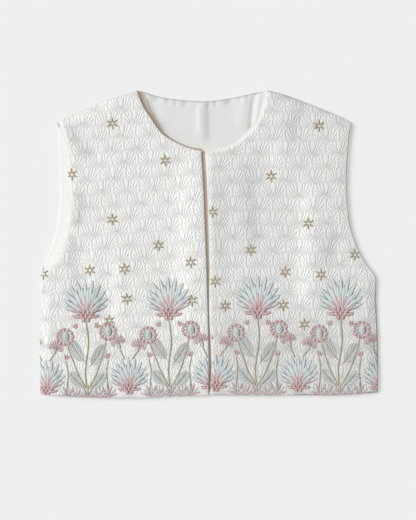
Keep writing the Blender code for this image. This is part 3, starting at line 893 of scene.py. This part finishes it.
def peek_at(rows, share):
    """How far a facing shows beyond its front's edge, with the corners between rows rounded."""
    along = [row.along for row in rows]
    beyond = [row.beyond for row in rows]
    return sum(np.interp(share + shift, along, beyond)
               for shift in (0, -PEEK_BLUR, PEEK_BLUR)) / 3


def build_facing(name, edge, span, peeks, outwards, material):
    """A strip under a front's inner edge. It shows a little beyond it and sinks to the lining; on the
    right front what shows is painted with the front's shadow.
    """
    columns, rows, stride = FACING_GRID
    share = np.arange(rows + 1) / rows
    near = 0.25 / rows
    points, ahead, behind = (edge(mix(*span, place)) for place in (
        share, np.minimum(share + near, 1), np.maximum(share - near, 0)))
    normal = np.stack([(ahead - behind)[:, 1], (behind - ahead)[:, 0]], -1) * outwards
    normal = normal / np.linalg.norm(normal, axis=1)[:, None]
    beyond = peek_at(peeks, share)[:, None]
    across = (np.arange(columns + 1) / columns)[None, :]
    offset = mix(beyond, -FACING_WIDTH, across ** FACING_CROWDING)
    plan = points[:, None, :] + normal[:, None, :] * offset[..., None]
    x, y = plan[..., 0], plan[..., 1]
    past_end = y[-1] - np.interp(x[-1], *np.array(TOP_OUTLINE).T) + FACING_END_INSET
    y = y - np.maximum(past_end, 0) * smooth(share, *FACING_END)[:, None]
    sunk = smooth(offset / beyond, *FACING_SINK)
    top = mix(FACING_TOP, LINING_TOP + FACING_ABOVE_LINING, sunk)
    under = mix(FACING_TOP - LINING, LINING_TOP - FACING_INTO_LINING, sunk)
    fade_from = mix(NARROW_FADE, WIDE_FADE, smooth(beyond, *FADE_WIDTHS))
    shade = 1 - smooth((offset / beyond - fade_from) / (FADE_END - fade_from))
    in_gap = np.broadcast_to(1 - smooth(share, *GAP_SHARES)[:, None], shade.shape)
    # For the colour: painted shadow next to the front, fading towards the free edge, painted light in
    # the front gap, and an even painted shade.
    return shell(name, x, y, top, under, stride, material, shade=shade, in_gap=in_gap,
                 recess=np.full_like(shade, FACING_SHADE))


# Woven motifs: pads of thread that lie on the cloth

def plan_pad(x, y, heading, length, width, bend, widest, cells):
    """Plan grid of a leaf-shaped pad: heading from straight up, in degrees, turning by bend."""
    along_cells, across_cells = cells
    s = np.arange(along_cells + 1) / along_cells
    angle = np.radians(heading + bend * (s - 0.5))
    cell_length = length / along_cells
    mid = 0.5 * (angle[1:] + angle[:-1])
    cx = x + np.concatenate([[0], np.cumsum(np.sin(mid) * cell_length)])
    cy = y + np.concatenate([[0], np.cumsum(np.cos(mid) * cell_length)])
    fullness = np.sin(math.pi * s ** (math.log(0.5) / math.log(widest)))
    profile = np.maximum(fullness, 0) ** PAD_ROUNDNESS
    half = np.maximum(width * 0.5 * profile, PAD_LEAST_HALF_WIDTH)
    t = np.linspace(-1, 1, across_cells + 1)
    px = cx[:, None] + np.cos(angle)[:, None] * half[:, None] * t[None, :]
    py = cy[:, None] - np.sin(angle)[:, None] * half[:, None] * t[None, :]
    return np.dstack([px, py]), s, t


def leaf(x, y, heading, length, width, bend=0, widest=0.5, lift=0.75, cells=(9, 4)):
    plan, s, t = plan_pad(x, y, heading, length, width, bend, widest, cells)
    return Pad(plan, s, t, lift, length)


def ray(x, y, start, heading, length, width, **shape):
    """A leaf that begins at a distance from a middle, and points away from it."""
    angle = math.radians(heading)
    return leaf(x + start * math.sin(angle), y + start * math.cos(angle), heading, length, width,
                **shape)


def disc(x, y, radius, lift):
    """A round pad."""
    s, t = np.linspace(0, 1, 9), np.linspace(-1, 1, 7)
    half = radius * np.sqrt(np.maximum(1 - (2 * s - 1) ** 2, 0.02))
    px = x + half[:, None] * t[None, :]
    py = np.broadcast_to((y + radius * (2 * s - 1))[:, None], px.shape)
    return Pad(np.dstack([px, py]), s, t, lift, 2 * radius)


def cord_line(points, width, lift=0.9):
    """A thin couched stem through plan points."""
    edge = Edge(points)
    cells = max(int(edge.length / 1.6), 4)
    s = np.arange(cells + 1) / cells
    near = 0.5 / cells
    direction = edge.at(np.minimum(s + near, 1)) - edge.at(np.maximum(s - near, 0))
    direction /= np.linalg.norm(direction, axis=1)[:, None]
    across = np.stack([direction[:, 1], -direction[:, 0]], -1)
    half = width * 0.5 * (0.85 + 0.15 * np.sin(s * edge.length * 2.4))
    t = np.linspace(-1, 1, 4)
    plan = edge.at(s)[:, None, :] + across[:, None, :] * (half[:, None] * t[None, :])[..., None]
    return Pad(plan, s, t, lift, edge.length)


def turned(pad, x, y, angle, scale):
    """A pad drawn about the origin, moved to a place, turned and scaled."""
    c, s = math.cos(math.radians(angle)), math.sin(math.radians(angle))
    px, py = pad.plan[..., 0] * scale, pad.plan[..., 1] * scale
    plan = np.dstack([x + px * c + py * s, y - px * s + py * c])
    return pad._replace(plan=plan, length=pad.length * scale)


def pad_cover(pads, x, y):
    """How much of each point is covered by motifs: the pads' own points, counted and spread."""
    def cell(px, py):
        column = np.clip((px - COVER_ORIGIN[0]) / COVER_CELL, 0, COVER_COLUMNS - 1)
        row = np.clip((py - COVER_ORIGIN[1]) / COVER_CELL, 0, COVER_ROWS - 1)
        return row.astype(int), column.astype(int)

    count = np.zeros((COVER_ROWS, COVER_COLUMNS))
    for pad in pads:
        grid = pad.plan
        for points in (grid, 0.5 * (grid[1:, 1:] + grid[:-1, :-1])):
            count[cell(points[..., 0], points[..., 1])] = 1
    for axis in (0, 1):
        count = (np.roll(count, 1, axis) + 2 * count + np.roll(count, -1, axis)) / 3
    return np.clip(count, 0, 1)[cell(x, y)]


class Surface:
    """The outer face of a finished cloth, for laying pads on."""

    def __init__(self, item, top_faces):
        vertices = [vertex.co.copy() for vertex in item.data.vertices]
        faces = [tuple(item.data.polygons[i].vertices) for i in range(top_faces)]
        self.tree = BVHTree.FromPolygons(vertices, faces)

    def place(self, x, y):
        """The point of the cloth at a plan point, or at its nearest edge, and whether it was hit."""
        start = Vector(in_frame((x, y, 100)))
        hit = self.tree.ray_cast(start, Vector((0, 0, -1)))[0]
        if hit is not None:
            return hit, True
        start.z = FRONT_REST * MM
        return self.tree.find_nearest(start)[0], False


def pad_rise(pad, i, j, hit):
    """Height of a pad's point over the cloth: its rim sinks in a little."""
    rows, columns = pad.plan.shape[:2]
    if i in (0, rows - 1) or j in (0, columns - 1) or not hit:
        return -PAD_SINK
    ends = min(1, PAD_END_RISE * min(pad.s[i], 1 - pad.s[i]) + PAD_END_HEIGHT)
    return pad.lift * math.sqrt(max(1 - pad.t[j] ** 2, 0)) * ends


def lay_pads(name, pads, surface, material):
    """All pads of one colour on one cloth, as one mesh of closed, crowned pads."""
    vertices, faces, uvs = [], [], []
    for pad in pads:
        rows, columns = pad.plan.shape[:2]
        cells = [(i, j) for i in range(rows) for j in range(columns)]
        placed = [surface.place(*pad.plan[cell]) for cell in cells]
        if sum(hit for _, hit in placed) < PAD_ON_CLOTH * len(cells):
            continue
        index = len(vertices) + np.arange(rows * columns).reshape(rows, columns)
        for (i, j), (point, hit) in zip(cells, placed):
            vertices.append((point.x, point.y, point.z + pad_rise(pad, i, j, hit) * MM))
            uvs.append((pad.s[i] * pad.length * MM, 0.5 + 0.5 * pad.t[j]))
        area = np.cross(pad.plan[1, 0] - pad.plan[0, 0], pad.plan[0, -1] - pad.plan[0, 0])
        flip = float(area) > 0
        faces += grid_faces(index, flip)
        ring = (list(index[0, :]) + list(index[1:, -1]) + list(index[-1, -2::-1])
                + list(index[-2:0:-1, 0]))
        faces.append([int(k) for k in (ring if flip else ring[::-1])])
    item = mesh_object(name, vertices, faces, material)
    add_uv(item, "thread", uvs)
    return item


def from_photo(pixel):
    """A pixel of the photograph as garment millimetres."""
    return ((pixel[0] - CENTRE_LINE_PIXEL) * MM_PER_PIXEL, (HEM_PIXEL - pixel[1]) * MM_PER_PIXEL)


def star(x, y, turn):
    """A six-point star of gold thread with an open middle."""
    return [ray(x, y, 1.1, 60 * k + turn, 8.2, 3.3, widest=0.3, lift=0.8, cells=SMALL_PAD)
            for k in range(6)]


class Flowers:
    """Pads by colour."""

    COLOURS = ("blue", "pink", "gold", "grey")

    def __init__(self):
        self.pads = {colour: [] for colour in self.COLOURS}

    def add(self, colour, *pads):
        self.pads[colour] += pads

    def all(self):
        return [pad for pads in self.pads.values() for pad in pads]

    def put(self, colour, pad, place):
        """Adds a pad that was drawn about the origin: place is its x, y, lean and size."""
        self.add(colour, turned(pad, *place))

    def stem(self, *points, width=2.2):
        self.add("gold", cord_line(points, width))

    def protea(self, *place):
        """A tall head: tiers of blue-grey petals, pink florets and a pink scaly cup."""
        for tier in PROTEA_TIERS:
            for share in np.linspace(-1, 1, tier.count):
                self.put(tier.colour, ray(
                    0, PROTEA_MIDDLE, tier.start, tier.spread * share,
                    tier.length - tier.shorter * share ** 2, tier.width,
                    bend=tier.bend * share, widest=0.56, lift=tier.lift), place)
        for count, height in ((2, 0), (3, 5), (4, 10)):
            for k in range(count):
                across = (k - (count - 1) / 2) * 5.4
                self.put("pink", leaf(across, height, across * 2.4, 9.6, 6, widest=0.45,
                                      lift=1.5, cells=SMALL_PAD), place)

    def daisy(self, x, y, radius, turn):
        """A ring of short pink petals about a pale grey eye."""
        for k in range(11):
            self.add("pink", ray(x, y, 0.56 * radius, turn + k * 360 / 11, 0.50 * radius,
                                 0.56 * radius, widest=0.6, lift=1, cells=SMALL_PAD))
        self.add("grey", disc(x, y, 0.58 * radius, lift=1.1))
        self.add("grey", disc(x, y, 0.26 * radius, lift=1.6))

    def fringed(self, x, y, size, lean):
        """A fringed half flower on a grey cup."""
        for k in range(-5, 6):
            self.add("pink", ray(x, y, 4.5, lean + 14 * k, size * (1 - 0.015 * k * k), 2,
                                 widest=0.62, cells=SMALL_PAD))
        for k in (-1, 0, 1):
            self.add("pink", leaf(x, y, lean + 24 * k, 0.62 * size, 3, lift=1.1,
                                  cells=SMALL_PAD))
        self.add("grey", ray(x, y, -5, lean, 9, 6.4, lift=1.2))

    def bud(self, x, y, lean):
        for k in (-1, 0, 1):
            self.add("pink", leaf(x, y, lean + 26 * k, 9, 3, bend=-16 * k,
                                  cells=SMALL_PAD))

    def fern(self, x, y, heading, length, bend, colour="grey"):
        """A curved spine with leaflets at both sides."""
        spine = leaf(x, y, heading, length, 1.7, bend, cells=(12, 3))
        self.add("gold", spine)
        middle = spine.plan.mean(axis=1)
        for k in range(2, 12):
            toward = middle[k] - middle[k - 1]
            along = math.degrees(math.atan2(toward[0], toward[1]))
            size = length * 0.30 * math.sin(math.pi * (k / 12) ** 0.8) + 2
            for side in (-1, 1):
                self.add(colour, leaf(*middle[k], along + 42 * side, size, 2.8,
                                      bend=-14 * side, lift=0.65, cells=(6, 3)))

    def sprig(self, x, y, size):
        """A small plant at the hem."""
        for k in range(-3, 4):
            colour = "pink" if k % 2 else "blue"
            self.add(colour, leaf(x, y, 23 * k, size * (1 - 0.08 * abs(k)), 3.2,
                                  bend=8 * k, widest=0.55))


def border_unit(flowers, x):
    """One repeat of the border: a tall plant at x, and a low head half a repeat further on."""
    flowers.protea(x, 109, 0, 1)
    flowers.stem((x, 112), (x + 2.5, 80), (x - 2.5, 40), (x + 1, 2), width=2.6)
    flowers.fern(x - 1, 52, -34, 42, 22)
    flowers.fern(x + 1, 46, 36, 40, -22)
    flowers.fern(x - 1, 16, -44, 34, 26, "blue")
    flowers.fern(x + 1, 14, 44, 34, -26, "blue")
    for side, high in ((-1, 90), (1, 96)):
        flowers.daisy(x + 30 * side, high, 12.6, 8 * side)
        flowers.stem((x + 28 * side, high - 10), (x + 21 * side, 60),
                     (x + 12 * side, 36), (x + 1 * side, 16))
    middle = x + 0.5 * BORDER_REPEAT
    flowers.protea(middle, 7, 0, 0.86)
    for side, high in ((-1, 76), (1, 70)):
        flowers.fringed(middle + 13 * side, high, 12.5, 18 * side)
        flowers.stem((middle + 12 * side, high - 4), (middle + 5 * side, 56))
        flowers.bud(middle + 28 * side, 58, 20 * side)
        flowers.stem((middle + 28 * side, 58), (middle + 31 * side, 40),
                     (middle + 27 * side, 3), width=1.6)
        flowers.bud(x + 13 * side, 101, 30 * side)
        flowers.sprig(x + 16 * side, 3, 17)
        flowers.sprig(middle + 31 * side, 3, 21)
    flowers.sprig(x, 3, 20)


def border_on(border):
    """The border with its tall plants in place, the whole turned about a pivot and lowered."""
    flowers = Flowers()
    for x in border.plants:
        border_unit(flowers, x - border.pivot)
    for colour, pads in flowers.pads.items():
        flowers.pads[colour] = [turned(pad, border.pivot, -border.drop, -border.turn, 1)
                                for pad in pads]
    return flowers


# Materials

class Paint:
    """A material: colours blended one over another, and a fine relief."""

    def __init__(self, name, roughness, specular, sheen=0):
        self.material = bpy.data.materials.new(name)
        self.material.use_nodes = True
        self.nodes = self.material.node_tree.nodes
        self.links = self.material.node_tree.links
        self.nodes.clear()
        output = self.nodes.new("ShaderNodeOutputMaterial")
        self.shader = self.nodes.new("ShaderNodeBsdfPrincipled")
        self.links.new(self.shader.outputs["BSDF"], output.inputs["Surface"])
        for label, value in (("Roughness", roughness), ("Specular IOR Level", specular),
                             ("Sheen Weight", sheen)):
            self.shader.inputs[label].default_value = value
        self.where = self.nodes.new("ShaderNodeTexCoord").outputs["Object"]

    def blend(self, factor, first, second, kind="MIX"):
        """The first colour where the factor is 0, and the second where it is 1."""
        node = self.nodes.new("ShaderNodeMix")
        node.data_type = "RGBA"
        node.blend_type = kind
        self.links.new(factor.socket, node.inputs[0])
        for place, colour in ((6, first), (7, second)):
            if isinstance(colour, tuple):
                node.inputs[place].default_value = (*colour, 1)
            else:
                self.links.new(colour, node.inputs[place])
        return node.outputs[2]

    def attribute(self, name):
        node = self.nodes.new("ShaderNodeAttribute")
        node.attribute_name = name
        return Shade(self, node.outputs["Fac"])

    def uv(self, name):
        """A UV map, and its two coordinates as numbers."""
        node = self.nodes.new("ShaderNodeUVMap")
        node.uv_map = name
        split = self.nodes.new("ShaderNodeSeparateXYZ")
        self.links.new(node.outputs["UV"], split.inputs[0])
        return (node.outputs["UV"], *(Shade(self, split.outputs[axis]) for axis in ("X", "Y")))

    def noise(self, scale, detail=3):
        node = self.nodes.new("ShaderNodeTexNoise")
        self.links.new(self.where, node.inputs["Vector"])
        node.inputs["Scale"].default_value = scale
        node.inputs["Detail"].default_value = detail
        return Shade(self, node.outputs["Fac"])

    def wave(self, vector, direction, pitch, distortion=0.6):
        """Thread lines across a direction, pitch in metres."""
        node = self.nodes.new("ShaderNodeTexWave")
        node.bands_direction = direction
        self.links.new(vector, node.inputs["Vector"])
        node.inputs["Scale"].default_value = 2 * math.pi / (20 * pitch)
        node.inputs["Distortion"].default_value = distortion
        node.inputs["Detail Scale"].default_value = 2
        return Shade(self, node.outputs["Fac"])

    def woven(self, pitch):
        """Over-and-under threads: the product of the two thread directions."""
        return self.wave(self.where, "X", pitch) * self.wave(self.where, "Y", pitch)

    def finish(self, colour, height=None, strength=1, depth=MM):
        """Gives the material its colour and its relief, and returns it."""
        self.links.new(colour, self.shader.inputs["Base Color"])
        if height is not None:
            node = self.nodes.new("ShaderNodeBump")
            node.inputs["Strength"].default_value = strength
            node.inputs["Distance"].default_value = depth
            self.links.new(height.socket, node.inputs["Height"])
            self.links.new(node.outputs["Normal"], self.shader.inputs["Normal"])
        return self.material


def outer_cloth():
    """Cream cloth with painted shade. The fine lines of its fans are shaded relief, on the mesh's soft
    bulges.
    """
    paint = Paint("quilted_jacquard", roughness=0.75, specular=0.3, sheen=0.1)
    _, across, up = paint.uv("lattice")
    fine, sway, lean = (paint.noise(*noise) - 0.5 for noise in (FINE_NOISE, SWAY_NOISE, LEAN_NOISE))
    across = across * FAN_COLUMN + sway * SWAY + fine * FINE_SWAY
    up = up * FAN_ROW + lean * LEAN + fine * FINE_LEAN
    lines = fan_lines(*fan_cell(across, up)) * (fine * LINE_UNEVENNESS + 1)
    lines = (lines - 0.5) * paint.attribute("quilted") + 0.5
    colour = paint.blend(paint.noise(CREAM_PATCHES), CREAM, PALE_CREAM)
    # Painted shade on the ground between the pale lines, partly the ground weave's own darker colour.
    colour = paint.blend(lines.eased(*GROUND_SHADE_RANGE) * GROUND_SHADE_STRENGTH, colour, GROUND_SHADE_GREY)
    # The fronts' painted shade, over an even grey on all of the outer cloth.
    tone = paint.attribute("tone") * PAINTED_SHADE_STRENGTH + TONE_BASE
    colour = paint.blend(tone, colour, SHADE_GREY, "MULTIPLY")
    # Painted shade along the rims.
    colour = paint.blend(paint.attribute("rim"), colour, RIM_SHADE_GREY)
    threads = paint.woven(OUTER_THREAD_PITCH)
    return paint.finish(colour, lines * -LINE_DEPTH + threads * THREAD_RELIEF + fine)


def lining_cloth():
    """Plain off-white cloth with faint upright threads, painted shade inside the neck, and greyer at
    its seam.
    """
    paint = Paint("plain_lining", roughness=0.8, specular=0.3)
    threads = paint.wave(paint.where, "X", LINING_THREAD_PITCH, 1.6)
    colour = paint.blend(paint.noise(LINING_PATCHES), OFF_WHITE, PALE_OFF_WHITE)
    colour = paint.blend(threads.ranged(0, 1, 0.30), colour, LINING_THREAD_GREY)
    # Painted shade: inside the neck, in troughs, beside the right front, and evenly on the left
    # facing.
    colour = paint.blend(paint.attribute("recess").ranged(0, 2), colour, RECESS_SHADE_GREY)
    colour = paint.blend(paint.attribute("seam").ranged(0, 1, 0.75), colour, SEAM_GREY)
    return paint.finish(colour, paint.woven(PLAIN_THREAD_PITCH), 0.4, PLAIN_RELIEF)


def shadow_facing_cloth():
    """Painted warm shadow of the right front: tan next to the front, paling towards its free edge, and
    painted lighter in the front gap.
    """
    paint = Paint("tan_shadow_facing", roughness=0.85, specular=0.25)
    shadow_tan = paint.blend(paint.noise(TAN_PATCHES), SHADOW_TAN, LIGHT_SHADOW_TAN)
    shadow_tan = paint.blend(paint.attribute("in_gap"), shadow_tan, GAP_PAINTED_LIGHT_TAN)
    colour = paint.blend(paint.attribute("shade").ranged(0, 1), FADED_SHADOW_TAN, shadow_tan)
    return paint.finish(colour, paint.woven(PLAIN_THREAD_PITCH), 0.4, PLAIN_RELIEF)


def thread_colour(name, pale, deep):
    """Woven thread: pale down the middle of each pad, deeper at its edges, with fine stitches."""
    paint = Paint(name, roughness=0.65, specular=0.4, sheen=0.1)
    thread, _, across = paint.uv("thread")
    from_middle = (across * 2 - 1).step("ABSOLUTE")
    colour = paint.blend(from_middle.ranged(*PAD_EDGE), pale, deep)
    stitches = paint.wave(thread, "X", STITCH_PITCH, 0.4)
    colour = paint.blend(stitches.ranged(0, 1, 0.22), colour, deep)
    colour = paint.blend(paint.noise(WEAR_PATCHES).ranged(*WEAR_RANGE, 0.25), colour, WORN_THREAD)
    return paint.finish(colour, stitches, 0.5, PLAIN_RELIEF)


def floor_material():
    paint = Paint("pale_floor", roughness=0.9, specular=0.1)
    paint.shader.inputs["Emission Color"].default_value = (1, 1, 1, 1)
    paint.shader.inputs["Emission Strength"].default_value = FLOOR_GLOW
    return paint.finish(paint.blend(paint.noise(FLOOR_PATCHES), FLOOR_GREY, PALE_FLOOR_GREY))


# The scene

def build_studio():
    """A wide pale floor, even light all round and a window's soft light from the left."""
    corners = [(x * FLOOR_HALF_SIDE, y * FLOOR_HALF_SIDE, -SEAM_GAP * MM)
               for x, y in ((-1, -1), (1, -1), (1, 1), (-1, 1))]
    floor = mesh_object("floor", corners, [(0, 1, 2, 3)], floor_material())
    scene = bpy.context.scene
    scene.world = bpy.data.worlds.new("studio")
    scene.world.use_nodes = True
    background = scene.world.node_tree.nodes["Background"]
    background.inputs["Color"].default_value = (0.98, 0.99, 1, 1)
    background.inputs["Strength"].default_value = SKY_STRENGTH
    window = bpy.data.lights.new("window", "SUN")
    window.angle = math.radians(WINDOW_SPREAD)
    window.energy = WINDOW_STRENGTH
    item = bpy.data.objects.new("window", window)
    item.rotation_euler = (-Vector(WINDOW_DIRECTION)).to_track_quat("-Z", "Y").to_euler()
    scene.collection.objects.link(item)
    scene.view_settings.view_transform = "Standard"


def build_camera():
    """Straight above, at the scale and place of the photograph."""
    view_height = PHOTO_HEIGHT * MM_PER_PIXEL * MM
    centre = from_photo((PHOTO_WIDTH / 2, PHOTO_HEIGHT / 2))
    data = bpy.data.cameras.new("camera")
    data.lens = CAMERA_LENS
    data.sensor_width = CAMERA_SENSOR
    data.clip_end = 20
    item = bpy.data.objects.new("camera", data)
    height = view_height * CAMERA_LENS / CAMERA_SENSOR
    item.location = in_frame((*centre, FRONT_REST)) + (0, 0, height)
    bpy.context.scene.collection.objects.link(item)
    bpy.context.scene.camera = item


def finish_piece(item, node):
    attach(item, "root")
    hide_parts(node)


def dress_front(side, front, outer, threads):
    """A front with its stars and border, which are laid on it as pads of thread."""
    flowers = border_on(front.border)
    for pixel in front.stars:
        flowers.add("gold", *star(*from_photo(pixel), -front.fans.turn))
    cloth = build_front(side, front, flowers.all(), outer)
    surface = Surface(cloth, FRONT_GRID.columns * FRONT_GRID.rows)
    for colour, pads in flowers.pads.items():
        item = lay_pads(f"{side}_front_{colour}_thread", pads, surface, threads[colour])
        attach(item, "root")
    finish_piece(cloth, side + "_front")


def main():
    build_camera()
    build_studio()
    outer, lining, shadow_tan = outer_cloth(), lining_cloth(), shadow_facing_cloth()
    threads = {colour: thread_colour(colour + "_thread", *shades)
               for colour, shades in THREADS.items()}

    back = build_back(outer)
    finish_piece(back, "back")
    back_lining = build_lining(lining)
    finish_piece(back_lining, "back_lining")
    for side, front in FRONTS.items():
        dress_front(side, front, outer, threads)

    right_edge = joined(Edge(RIGHT_CENTRE), Edge(RIGHT_NECK), 1 - NECK_SHARE)
    # The right facing shows the right front's painted warm shadow; the left one an even painted shade.
    right_facing = build_facing("right_facing_cloth", right_edge, RIGHT_FACING_SPAN, RIGHT_PEEK,
                                1, shadow_tan)
    finish_piece(right_facing, "right_front_facing")
    left_facing = build_facing("left_facing_cloth", Edge(LEFT_NECK).at, LEFT_FACING_SPAN,
                               LEFT_PEEK, -1, lining)
    finish_piece(left_facing, "left_front_facing")


main()
